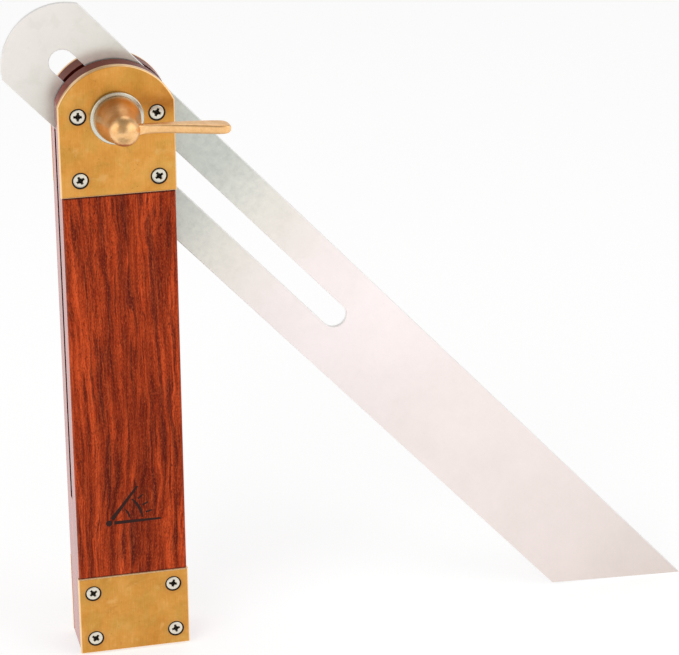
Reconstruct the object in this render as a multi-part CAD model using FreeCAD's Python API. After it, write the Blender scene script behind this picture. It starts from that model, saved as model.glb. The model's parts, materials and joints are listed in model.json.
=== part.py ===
"""Sliding bevel gauge with a lever lock.

Frame, in millimetres: the origin is the centre of the handle's squared butt end.
+Z runs up the handle towards its rounded top, +X is the side the blade points
to, and -Y is the front, the side that carries the lever. The pieces are drawn
about the pivot axis, where every height below is measured from, and lifted by
PIVOT_Z at the end.
"""
import FreeCAD, Part
import math
import os

from FreeCAD import Vector

Y_AXIS = Vector(0, 1, 0)
PIVOT_AXIS = Vector(0, 0, 0)
FRONT, REAR = -1, 1       # sign of Y on each side
OVERCUT = 1.0             # how far most cutters run past the face they open

# ------------------------------------------------- dimensions: handle
OVERALL_T = 15.0          # over the brass plates, front to back
WOOD_T = 14.6             # wood between the plates, 0.2 below them each side
WOOD_W = 26.5             # wood, side to side
PIVOT_Z = 136.5           # pivot axis above the butt end
BUTT_Z = -PIVOT_Z         # squared lower end
ARCH_Z = -2.3             # centre of the rounded top
WOOD_ARCH_R = 14.35
WOOD_EDGE_R = 0.6         # eased long edges
SLOT_T = 2.2              # saw slot for the blade
SLOT_BOTTOM_Z = -97.5
SLOT_CUT_REACH = 40.0     # the slot's cutter, beyond the sides and the top

# ------------------------------------------------- dimensions: brass plates
PLATE_W = {FRONT: 27.0, REAR: 26.6}
PLATE_ARCH_R = {FRONT: 14.6, REAR: 14.4}
PLATE_T = 1.3
PLATE_EDGE_R = 0.4        # rounding of the outer face's edge
BOLSTER_LOW_Z = -18.6     # lower end of the arched plates
END_TOP_Z = -116.2        # upper end of the butt plates
SEAT_GAP = 0.08           # between a plate's end and the raised wood

HALF_T = OVERALL_T / 2
SEAT_Y = HALF_T - PLATE_T  # floor of a plate's seat

# ------------------------------------------------- dimensions: pivot bolt
NECK_D = 8.0
NECK_BORE_D = NECK_D + 0.12
FLATS = 5.95              # across the flats that pass through the blade
FLATS_END_GAP = 0.05      # from the end of the flats to the slot's side
FLATS_CUT_REACH = 10.0
STUD_D = 6.0
STUD_BORE_D = STUD_D + 0.14
STUD_TIP_Y = -13.2
STUD_TIP_L = 0.5          # tapered tip
HEAD_D = 12.5
HEAD_T = 2.0
HEAD_EDGE = 0.35          # bevel around the head's face
HEAD_RECESS = 0.25        # head face below the rear plate's face
RECESS_D = HEAD_D + 0.2
RECESS_WOOD_FIT = 0.05    # extra radius of the recess in the wood
DRIVER_W = 1.5            # straight driver slot across the head
DRIVER_DEPTH = 0.9
HEAD_FACE_Y = HALF_T - HEAD_RECESS
HEAD_UNDER_Y = HEAD_FACE_Y - HEAD_T

THREAD_START_Y = -HALF_T + 0.2
THREAD_PITCH = 1.0
THREAD_MAJOR_R = STUD_D / 2
THREAD_MINOR_R = 5.1 / 2
THREAD_GROOVE = [         # radius, distance from the start of each pitch
    (THREAD_MAJOR_R, 0.06), (THREAD_MINOR_R, 0.44),
    (THREAD_MINOR_R, 0.56), (THREAD_MAJOR_R, 0.94),
]

# ------------------------------------------------- dimensions: washers
BOLT_WASHER_T = 0.8
BOLT_WASHER_Y = HEAD_UNDER_Y - BOLT_WASHER_T  # its inner face, floor of the recess
BOLT_WASHER_ID = NECK_BORE_D + 0.1
LEVER_WASHER_D = 12.4
LEVER_WASHER_ID = 6.4
LEVER_WASHER_T = 1.0
LEVER_WASHER_Y = -HALF_T - LEVER_WASHER_T     # its front face, the lever's seat
WASHER_EASE = 0.12        # bevel of the outer edges

# ------------------------------------------------- dimensions: blade
# Drawn along +X, then turned down about the pivot.
BLADE_DOWN_DEG = 47.06    # below +X at rest
BLADE_W = 24.5
BLADE_T = 1.2
BLADE_TIP_X = 198.7       # long corner of the mitre
MITRE_RUN = BLADE_W       # 45 degree mitre
BLADE_END_X = -15.3       # centre of the rounded end
BLADE_END_R = 14.6
BLADE_SLOT_W = FLATS + 0.1
BLADE_SLOT_X0 = -16.2     # centres of the slot's round ends
BLADE_SLOT_X1 = 76.9
BLADE_SLOT_CUT_Y = 5.0    # the slot's cutter, each side of the blade's middle
BLADE_EDGE = 0.12         # edge break

# ------------------------------------------------- dimensions: lever
LEVER_BORE_D = STUD_D + 0.12
LEVER_BORE_DEPTH = 5.7
LEVER_DROP_DEG = 2.0      # the arm points a little below +X
HUB_PROFILE = [           # radius, height above the washer
    (0.0, 13.10), (0.95, 12.97), (1.87, 12.55), (2.66, 11.83), (3.24, 10.85), (3.55, 9.80),
    (3.69, 8.90), (3.83, 8.00), (4.01, 7.10), (4.23, 6.20), (4.47, 5.20), (4.73, 4.20),
    (4.97, 3.20), (5.18, 2.20), (5.33, 1.20), (5.41, 0.50), (5.42, 0.26), (5.27, 0.0),
]
ARM_SECTIONS = [          # x, centre height above the washer, z extent, y extent, z centre
    (1.2, 9.40, 3.20, 4.20, 0.20), (2.6, 9.32, 2.60, 3.00, 0.22),
    (3.7, 9.28, 2.28, 2.05, 0.24), (4.7, 9.22, 2.18, 1.80, 0.29),
    (6.0, 9.17, 2.10, 1.85, 0.33), (8.0, 9.16, 2.08, 2.10, 0.32),
    (10.3, 9.12, 2.10, 2.60, 0.28), (12.5, 9.12, 2.14, 3.15, 0.22),
    (14.7, 9.20, 2.17, 3.70, 0.17), (17.0, 9.42, 2.18, 4.10, 0.15),
    (19.2, 9.65, 2.18, 4.50, 0.13), (21.3, 9.92, 2.18, 4.80, 0.11),
    (22.7, 10.10, 2.10, 4.50, 0.12), (23.5, 10.20, 1.80, 3.70, 0.12),
    (24.0, 10.25, 1.20, 2.50, 0.12), (24.25, 10.28, 0.50, 1.10, 0.12),
]
ARM_SECTION_POINTS = 20
ARM_SQUARENESS = 0.72     # superellipse exponent: 1 is an ellipse, less is squarer

# ------------------------------------------------- dimensions: plate screws
SCREW_HEAD_D = 3.35
SCREW_HEAD_T = 0.95       # down to the foot of the cone
SCREW_HEAD_EASE = 0.06    # bevel around the head's face
SCREW_RIM_T = 0.2         # head face to the start of the cone
SCREW_D = 1.9
SCREW_L = 6.0
SCREW_TIP_L = 1.4
SCREW_TIP_R = 0.15
SCREW_SINK = 0.06         # head face below the plate's face
SCREW_FIT = 0.02          # clearance around the shank and past the tip
SCREW_SEAT_D = 3.95       # countersink at the face, wider than the head
SCREW_SEAT_RIM = 0.12     # straight part of the countersink
SCREW_SEAT_OVERCUT = 0.6
CROSS_L = 1.9             # cross recess
CROSS_W = 0.5
CROSS_DEPTH = 0.7
CROSS_OVERCUT = 0.5
CROSS_CONE = [            # radius, depth below the head's face
    (0.0, -0.2), (0.55, -0.2), (0.2, CROSS_DEPTH + 0.2), (0.0, CROSS_DEPTH + 0.2),
]
BOLSTER_SCREWS = [        # x, z, turn of the front cross, turn of the rear cross (degrees)
    (-8.9, 0.75, 4.0, 11.0), (9.3, 0.5, 17.0, -38.0),
    (-8.9, -14.5, -24.0, 27.0), (9.4, -14.8, 62.0, 50.0),
]
END_SCREWS = [            # the same columns
    (-10.0, -120.3, -33.0, -7.0), (9.75, -120.0, 8.0, 33.0),
    (-9.8, -132.6, 38.0, 70.0), (10.1, -132.4, -12.0, 21.0),
]


# ------------------------------------------------------------------- helpers
def prism(segments, y0, y1):
    """Extrude a closed outline from y0 to y1. Each segment is a list of (x, z)
    points: two for a line, three for an arc."""
    edges = []
    for segment in segments:
        points = [Vector(x, y0, z) for x, z in segment]
        curve = Part.LineSegment if len(points) == 2 else Part.Arc
        edges.append(curve(*points).toShape())
    wire = Part.Wire(Part.__sortEdges__(edges))
    return Part.Face(wire).extrude(Vector(0, y1 - y0, 0))


def cylinder(diameter, y0, y1):
    """Cylinder on the pivot axis."""
    low, high = sorted((y0, y1))
    return Part.makeCylinder(diameter / 2, high - low, Vector(0, low, 0), Y_AXIS)


def box(x_span, y_span, z_span):
    """Box between two values on each axis, given in either order."""
    (x0, x1), (y0, y1), (z0, z1) = sorted(x_span), sorted(y_span), sorted(z_span)
    return Part.makeBox(x1 - x0, y1 - y0, z1 - z0, Vector(x0, y0, z0))


def arched(width, arch_r, low_z, y0, y1):
    """Straight sides, square lower end, round top."""
    half = width / 2
    corner_z = ARCH_Z + math.sqrt(arch_r ** 2 - half ** 2)
    low_left, low_right = (-half, low_z), (half, low_z)
    left, right = (-half, corner_z), (half, corner_z)
    crown = (0, ARCH_Z + arch_r)
    return prism([
        [low_left, low_right], [low_right, right], [right, crown, left], [left, low_left],
    ], y0, y1)


def edges_on_y(shape, y):
    """Edges that lie wholly in the plane at y."""
    return [edge for edge in shape.Edges
            if abs(edge.BoundBox.YMin - y) < 1e-6 and abs(edge.BoundBox.YMax - y) < 1e-6]


def turned(profile, x=0.0, z=0.0):
    """Solid of revolution about the Y-parallel axis at x, z from (radius, y) points."""
    wire = Part.makePolygon([Vector(x + radius, y, z) for radius, y in profile + profile[:1]])
    return Part.Face(wire).revolve(Vector(x, 0, z), Y_AXIS, 360)


def spline(points, closed):
    curve = Part.BSplineCurve()
    curve.interpolate(points, closed)
    return curve.toShape()


# -------------------------------------------------------------------- screws
def turned_inwards(profile, start, x, z, side):
    """Turn (radius, depth) points, with depth 0 lying start below the plate's face."""
    return turned([(radius, side * (HALF_T - start - depth)) for radius, depth in profile], x, z)


def make_screw(x, z, side, turn_deg):
    head_r, shank_r = SCREW_HEAD_D / 2, SCREW_D / 2
    screw = turned_inwards([
        (0.0, 0.0), (head_r - SCREW_HEAD_EASE, 0.0),
        (head_r, SCREW_HEAD_EASE), (head_r, SCREW_RIM_T),
        (shank_r, SCREW_HEAD_T), (shank_r, SCREW_L - SCREW_TIP_L),
        (SCREW_TIP_R, SCREW_L), (0.0, SCREW_L),
    ], SCREW_SINK, x, z, side)
    face_y = side * (HALF_T - SCREW_SINK)
    for angle in (turn_deg, turn_deg + 90):
        bar = box((x - CROSS_L / 2, x + CROSS_L / 2),
                  (face_y + side * CROSS_OVERCUT, face_y - side * CROSS_DEPTH),
                  (z - CROSS_W / 2, z + CROSS_W / 2))
        bar.rotate(Vector(x, 0, z), Y_AXIS, angle)
        screw = screw.cut(bar)
    return screw.cut(turned_inwards(CROSS_CONE, SCREW_SINK, x, z, side))


def make_screws(places, side):
    return Part.makeCompound([
        make_screw(x, z, side, front_turn if side == FRONT else rear_turn)
        for x, z, front_turn, rear_turn in places
    ])


def screw_space(x, z, side):
    """Cutter for the countersink and pilot hole of one screw."""
    pilot_r, seat_r = SCREW_D / 2 + SCREW_FIT, SCREW_SEAT_D / 2
    bottom = SCREW_SINK + SCREW_L + SCREW_FIT
    return turned_inwards([
        (0.0, -SCREW_SEAT_OVERCUT), (seat_r, -SCREW_SEAT_OVERCUT), (seat_r, SCREW_SEAT_RIM),
        (pilot_r, SCREW_SINK + SCREW_HEAD_T + SCREW_FIT),
        (pilot_r, SCREW_SINK + SCREW_L - SCREW_TIP_L),
        (SCREW_TIP_R + SCREW_FIT, bottom), (0.0, bottom),
    ], 0.0, x, z, side)


# -------------------------------------------------------------------- handle
def make_handle():
    # the full outline is as thick as the plate seats allow; a thicker slab stands between them
    core = arched(WOOD_W, WOOD_ARCH_R, BUTT_Z, -SEAT_Y, SEAT_Y)
    slab = box((-WOOD_W / 2, WOOD_W / 2), (-WOOD_T / 2, WOOD_T / 2),
               (END_TOP_Z + SEAT_GAP, BOLSTER_LOW_Z - SEAT_GAP))
    long_edges = [edge for edge in slab.Edges if edge.BoundBox.ZLength > 50]
    slab = slab.makeFillet(WOOD_EDGE_R, long_edges)
    wood = core.fuse(slab).removeSplitter()
    # saw slot, open at the top and at both narrow sides
    wood = wood.cut(box((-SLOT_CUT_REACH, SLOT_CUT_REACH), (-SLOT_T / 2, SLOT_T / 2),
                        (SLOT_BOTTOM_Z, SLOT_CUT_REACH)))
    # bolt neck in the rear cheek, stud in the front cheek, recess for head and washer
    wood = wood.cut(cylinder(NECK_BORE_D, 0.0, SEAT_Y + OVERCUT))
    wood = wood.cut(cylinder(STUD_BORE_D, -SEAT_Y - OVERCUT, 0.0))
    wood = wood.cut(cylinder(RECESS_D + 2 * RECESS_WOOD_FIT, BOLT_WASHER_Y, HALF_T + OVERCUT))
    for x, z, *_ in BOLSTER_SCREWS + END_SCREWS:
        for side in (FRONT, REAR):
            wood = wood.cut(screw_space(x, z, side))
    return wood


# -------------------------------------------------------------------- plates
def finish_plate(plate, side, places):
    """Round the outer face's edge and cut the screw holes."""
    plate = plate.makeFillet(PLATE_EDGE_R, edges_on_y(plate, side * HALF_T))
    for x, z, *_ in places:
        plate = plate.cut(screw_space(x, z, side))
    return plate


def make_bolster_plate(side):
    y0, y1 = sorted((side * SEAT_Y, side * HALF_T))
    plate = arched(PLATE_W[side], PLATE_ARCH_R[side], BOLSTER_LOW_Z, y0, y1)
    plate = finish_plate(plate, side, BOLSTER_SCREWS)
    bore_d = RECESS_D if side == REAR else STUD_BORE_D
    return plate.cut(cylinder(bore_d, side * (SEAT_Y - OVERCUT), side * (HALF_T + OVERCUT)))


def make_end_plate(side):
    half = PLATE_W[side] / 2
    plate = box((-half, half), (side * SEAT_Y, side * HALF_T), (BUTT_Z, END_TOP_Z))
    return finish_plate(plate, side, END_SCREWS)


# --------------------------------------------------------------------- blade
def make_blade():
    half_w, half_t = BLADE_W / 2, BLADE_T / 2
    end_x = BLADE_END_X - math.sqrt(BLADE_END_R ** 2 - half_w ** 2)
    end_high, end_low = (end_x, half_w), (end_x, -half_w)
    end_middle = (BLADE_END_X - BLADE_END_R, 0)
    tip, mitre_foot = (BLADE_TIP_X, half_w), (BLADE_TIP_X - MITRE_RUN, -half_w)
    blade = prism([
        [end_high, tip], [tip, mitre_foot], [mitre_foot, end_low],
        [end_low, end_middle, end_high],
    ], -half_t, half_t)

    r = BLADE_SLOT_W / 2
    x0, x1 = BLADE_SLOT_X0, BLADE_SLOT_X1
    slot = prism([
        [(x0, r), (x1, r)], [(x1, r), (x1 + r, 0), (x1, -r)],
        [(x1, -r), (x0, -r)], [(x0, -r), (x0 - r, 0), (x0, r)],
    ], -BLADE_SLOT_CUT_Y, BLADE_SLOT_CUT_Y)
    blade = blade.cut(slot)
    sharp = edges_on_y(blade, -half_t) + edges_on_y(blade, half_t)
    blade = blade.makeChamfer(BLADE_EDGE, sharp)
    blade.rotate(PIVOT_AXIS, Y_AXIS, BLADE_DOWN_DEG)
    return blade


# ---------------------------------------------------------------- pivot bolt
def make_bolt_head():
    r = HEAD_D / 2
    head = turned([
        (0.0, HEAD_UNDER_Y), (r, HEAD_UNDER_Y),
        (r, HEAD_FACE_Y - HEAD_EDGE), (r - HEAD_EDGE, HEAD_FACE_Y), (0.0, HEAD_FACE_Y),
    ])
    return head.cut(box((-HEAD_D, HEAD_D), (HEAD_FACE_Y - DRIVER_DEPTH, HEAD_FACE_Y + OVERCUT),
                        (-DRIVER_W / 2, DRIVER_W / 2)))


def make_bolt_neck():
    """Round neck, flatted above and below where it crosses the saw slot."""
    flats_y = SLOT_T / 2 - FLATS_END_GAP
    neck = cylinder(NECK_D, -flats_y, HEAD_UNDER_Y)
    for sign in (-1, 1):
        neck = neck.cut(box((-FLATS_CUT_REACH, FLATS_CUT_REACH),
                            (-SLOT_T / 2 - OVERCUT, flats_y),
                            (sign * FLATS / 2, sign * FLATS_CUT_REACH)))
    return neck


def make_thread():
    """Threaded end, drawn as separate ring grooves one pitch apart."""
    y = THREAD_START_Y
    taper_y = STUD_TIP_Y + STUD_TIP_L
    profile = [(0.0, y), (THREAD_MAJOR_R, y)]
    while y - THREAD_PITCH > taper_y:
        profile += [(radius, y - offset) for radius, offset in THREAD_GROOVE]
        y -= THREAD_PITCH
    profile += [(THREAD_MAJOR_R, taper_y), (THREAD_MINOR_R, STUD_TIP_Y), (0.0, STUD_TIP_Y)]
    return turned(profile)


def make_pivot_bolt():
    """The bolt turns with the blade, whose slot its flats fit."""
    plain = cylinder(STUD_D, THREAD_START_Y, 0.0)
    bolt = make_bolt_head().fuse([make_bolt_neck(), plain, make_thread()]).removeSplitter()
    bolt.rotate(PIVOT_AXIS, Y_AXIS, BLADE_DOWN_DEG)
    return bolt


# ------------------------------------------------------------------- washers
def make_washer(outer_d, hole_d, y0, y1):
    outer, hole, ease = outer_d / 2, hole_d / 2, WASHER_EASE
    return turned([
        (hole, y0), (outer - ease, y0), (outer, y0 + ease),
        (outer, y1 - ease), (outer - ease, y1), (hole, y1),
    ])


# --------------------------------------------------------------------- lever
def make_hub():
    points = [Vector(radius, LEVER_WASHER_Y - height, 0) for radius, height in HUB_PROFILE]
    foot_centre = Vector(0, LEVER_WASHER_Y, 0)
    foot = Part.LineSegment(points[-1], foot_centre).toShape()
    axis = Part.LineSegment(foot_centre, points[0]).toShape()
    face = Part.Face(Part.Wire([spline(points, False), foot, axis]))
    return face.revolve(PIVOT_AXIS, Y_AXIS, 360)


def arm_section(x, height, z_extent, y_extent, z_centre):
    """Rounded, slightly squared cross-section of the arm."""
    points = []
    for i in range(ARM_SECTION_POINTS):
        angle = 2 * math.pi * i / ARM_SECTION_POINTS
        across, up = [math.copysign(abs(value) ** ARM_SQUARENESS, value)
                      for value in (math.cos(angle), math.sin(angle))]
        points.append(Vector(x, LEVER_WASHER_Y - height + y_extent / 2 * across,
                             z_centre + z_extent / 2 * up))
    return Part.Wire([spline(points, True)])


def make_lever():
    arm = Part.makeLoft([arm_section(*section) for section in ARM_SECTIONS], True, False)
    lever = make_hub().fuse(arm)
    lever = lever.cut(cylinder(LEVER_BORE_D, LEVER_WASHER_Y - LEVER_BORE_DEPTH,
                               LEVER_WASHER_Y + OVERCUT))
    lever.rotate(PIVOT_AXIS, Y_AXIS, LEVER_DROP_DEG)
    return lever


# --------------------------------------------------------------------- build
def main():
    pieces = {
        "handle": make_handle(),
        "blade": make_blade(),
        "pivot_bolt": make_pivot_bolt(),
        "bolt_washer": make_washer(RECESS_D, BOLT_WASHER_ID, BOLT_WASHER_Y, HEAD_UNDER_Y),
        "lever_washer": make_washer(LEVER_WASHER_D, LEVER_WASHER_ID, LEVER_WASHER_Y, -HALF_T),
        "lever": make_lever(),
    }
    for name, side in (("front", FRONT), ("rear", REAR)):
        pieces[name + "_bolster_plate"] = make_bolster_plate(side)
        pieces[name + "_end_plate"] = make_end_plate(side)
        pieces[name + "_bolster_screws"] = make_screws(BOLSTER_SCREWS, side)
        pieces[name + "_end_screws"] = make_screws(END_SCREWS, side)

    os.makedirs("parts", exist_ok=True)
    for name, shape in pieces.items():
        shape.translate(Vector(0, 0, PIVOT_Z))
        shape.exportStep("parts/%s.step" % name)


main()
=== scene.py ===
"""Looks for the sliding bevel gauge: materials, detail meshes, floor, light and camera."""
import bpy, bmesh
import json, math
from mathutils import Matrix, Vector

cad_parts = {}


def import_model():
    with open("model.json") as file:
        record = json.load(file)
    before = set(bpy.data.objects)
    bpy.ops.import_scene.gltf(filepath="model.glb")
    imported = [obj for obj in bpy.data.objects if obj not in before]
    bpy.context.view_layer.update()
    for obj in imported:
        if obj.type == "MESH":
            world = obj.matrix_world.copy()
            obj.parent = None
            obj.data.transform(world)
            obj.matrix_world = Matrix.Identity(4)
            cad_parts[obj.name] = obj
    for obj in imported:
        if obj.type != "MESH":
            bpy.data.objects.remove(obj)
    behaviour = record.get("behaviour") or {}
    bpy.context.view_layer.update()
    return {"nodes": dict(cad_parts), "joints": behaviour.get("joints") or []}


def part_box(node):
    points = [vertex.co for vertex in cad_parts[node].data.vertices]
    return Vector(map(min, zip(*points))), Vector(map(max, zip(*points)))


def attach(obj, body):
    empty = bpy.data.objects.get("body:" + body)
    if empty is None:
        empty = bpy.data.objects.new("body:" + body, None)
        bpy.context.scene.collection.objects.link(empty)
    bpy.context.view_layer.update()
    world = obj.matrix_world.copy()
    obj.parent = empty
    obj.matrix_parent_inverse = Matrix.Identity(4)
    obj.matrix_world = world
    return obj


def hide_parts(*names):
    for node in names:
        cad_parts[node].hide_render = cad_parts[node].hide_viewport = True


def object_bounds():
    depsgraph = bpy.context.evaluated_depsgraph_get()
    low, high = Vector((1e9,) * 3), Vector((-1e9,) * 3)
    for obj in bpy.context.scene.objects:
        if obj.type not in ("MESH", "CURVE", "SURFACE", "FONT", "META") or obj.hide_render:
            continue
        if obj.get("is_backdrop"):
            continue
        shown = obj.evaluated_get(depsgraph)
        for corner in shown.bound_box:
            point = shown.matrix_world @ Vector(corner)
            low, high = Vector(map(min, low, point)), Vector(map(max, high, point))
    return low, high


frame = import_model()
NODES = frame["nodes"]
SCENE = bpy.context.scene
MM = 0.001

PIVOT_Z = [j for j in frame["joints"] if j["name"] == "blade_swing"][0]["pos_m"][2]
BLADE_AXIS = Vector([j for j in frame["joints"] if j["name"] == "blade_slide"][0]["axis"])
BLADE_DOWN = math.atan2(-BLADE_AXIS.z, BLADE_AXIS.x)          # radians below +X
FRONT_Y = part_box("front_bolster_plate")[0].y                  # outer faces of the plates
REAR_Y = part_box("rear_bolster_plate")[1].y
WOOD_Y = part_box("handle")[0].y
WASHER_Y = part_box("lever_washer")[0].y
SLOT_HALF = 1.1                                               # half the saw slot, mm
SLOT_LOW = -97.5                                              # its floor, mm above the pivot axis


# ------------------------------------------------------------ node helpers
class Mat:
    """A material and short calls that add nodes to it."""

    def __init__(self, name):
        self.m = bpy.data.materials.new(name)
        self.m.use_nodes = True
        self.t = self.m.node_tree
        self.t.nodes.clear()
        self.out = self.t.nodes.new("ShaderNodeOutputMaterial")
        self.tc = self.t.nodes.new("ShaderNodeTexCoord")
        self.geo = self.t.nodes.new("ShaderNodeNewGeometry")

    def put(self, socket, v):
        if isinstance(v, bpy.types.NodeSocket):
            self.t.links.new(v, socket)
        elif v is not None:
            if isinstance(v, (tuple, list)) and len(v) == 3 and len(socket.default_value) == 4:
                v = (*v, 1.0)
            socket.default_value = v

    def math(self, op, a, b=None, c=None, clamp=False):
        n = self.t.nodes.new("ShaderNodeMath")
        n.operation, n.use_clamp = op, clamp
        self.put(n.inputs[0], a)
        self.put(n.inputs[1], b)
        self.put(n.inputs[2], c)
        return n.outputs[0]

    def vmath(self, op, a, b=None, scale=None):
        n = self.t.nodes.new("ShaderNodeVectorMath")
        n.operation = op
        self.put(n.inputs[0], a)
        if b is not None:
            self.put(n.inputs[1], b)
        if scale is not None:
            self.put(n.inputs["Scale"], scale)
        return n.outputs["Value"] if op in ("LENGTH", "DISTANCE", "DOT_PRODUCT") else n.outputs["Vector"]

    def sep(self, v):
        n = self.t.nodes.new("ShaderNodeSeparateXYZ")
        self.put(n.inputs[0], v)
        return n.outputs[0], n.outputs[1], n.outputs[2]

    def comb(self, x, y, z):
        n = self.t.nodes.new("ShaderNodeCombineXYZ")
        for s, v in zip(n.inputs, (x, y, z)):
            self.put(s, v)
        return n.outputs[0]

    def noise(self, vec, scale=1.0, detail=4.0, rough=0.55, distort=0.0, seed=None):
        n = self.t.nodes.new("ShaderNodeTexNoise")
        if seed is not None:
            n.noise_dimensions = "4D"
            self.put(n.inputs["W"], float(seed))
        self.put(n.inputs["Vector"], vec)
        self.put(n.inputs["Scale"], scale)
        self.put(n.inputs["Detail"], detail)
        self.put(n.inputs["Roughness"], rough)
        self.put(n.inputs["Distortion"], distort)
        return n.outputs["Fac"] if "Fac" in n.outputs else n.outputs[0]

    def voronoi(self, vec, scale=1.0, rand=1.0, feature="F1"):
        n = self.t.nodes.new("ShaderNodeTexVoronoi")
        n.feature = feature
        self.put(n.inputs["Vector"], vec)
        self.put(n.inputs["Scale"], scale)
        self.put(n.inputs["Randomness"], rand)
        return n.outputs["Distance"]

    def ramp(self, fac, stops, interp="LINEAR"):
        n = self.t.nodes.new("ShaderNodeValToRGB")
        n.color_ramp.interpolation = interp
        el = n.color_ramp.elements
        while len(el) < len(stops):
            el.new(0.5)
        for e, (p, c) in zip(el, stops):
            e.position = p
            e.color = (*c, 1.0) if len(c) == 3 else c
        self.put(n.inputs[0], fac)
        return n.outputs["Color"]

    def remap(self, v, a, b, c=0.0, d=1.0, smooth=False):
        n = self.t.nodes.new("ShaderNodeMapRange")
        n.interpolation_type = "SMOOTHSTEP" if smooth else "LINEAR"
        n.clamp = True
        for i, x in enumerate((v, a, b, c, d)):
            self.put(n.inputs[i], x)
        return n.outputs[0]

    def mix(self, fac, a, b, mode="MIX"):
        n = self.t.nodes.new("ShaderNodeMix")
        n.data_type, n.blend_type = "RGBA", mode
        n.clamp_factor = True
        self.put(n.inputs["Factor"], fac)
        self.put(n.inputs[6], a)
        self.put(n.inputs[7], b)
        return n.outputs[2]

    def bump(self, height, distance, strength=1.0, normal=None):
        n = self.t.nodes.new("ShaderNodeBump")
        self.put(n.inputs["Height"], height)
        self.put(n.inputs["Strength"], strength)
        self.put(n.inputs["Distance"], distance)
        if normal is not None:
            self.put(n.inputs["Normal"], normal)
        return n.outputs[0]

    def rotate_y(self, v, angle, centre):
        n = self.t.nodes.new("ShaderNodeVectorRotate")
        n.rotation_type = "Y_AXIS"
        self.put(n.inputs["Vector"], v)
        self.put(n.inputs["Center"], centre)
        self.put(n.inputs["Angle"], angle)
        return n.outputs[0]

    def pos_mm(self):
        """Position in millimetres about the pivot axis, fixed to the piece."""
        p = self.vmath("SUBTRACT", self.tc.outputs["Object"], (0.0, 0.0, PIVOT_Z))
        return self.vmath("SCALE", p, scale=1000.0)

    def principled(self, **kw):
        n = self.t.nodes.new("ShaderNodeBsdfPrincipled")
        for k, v in kw.items():
            self.put(n.inputs[k.replace("_", " ")], v)
        self.t.links.new(n.outputs[0], self.out.inputs[0])
        return n


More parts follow.
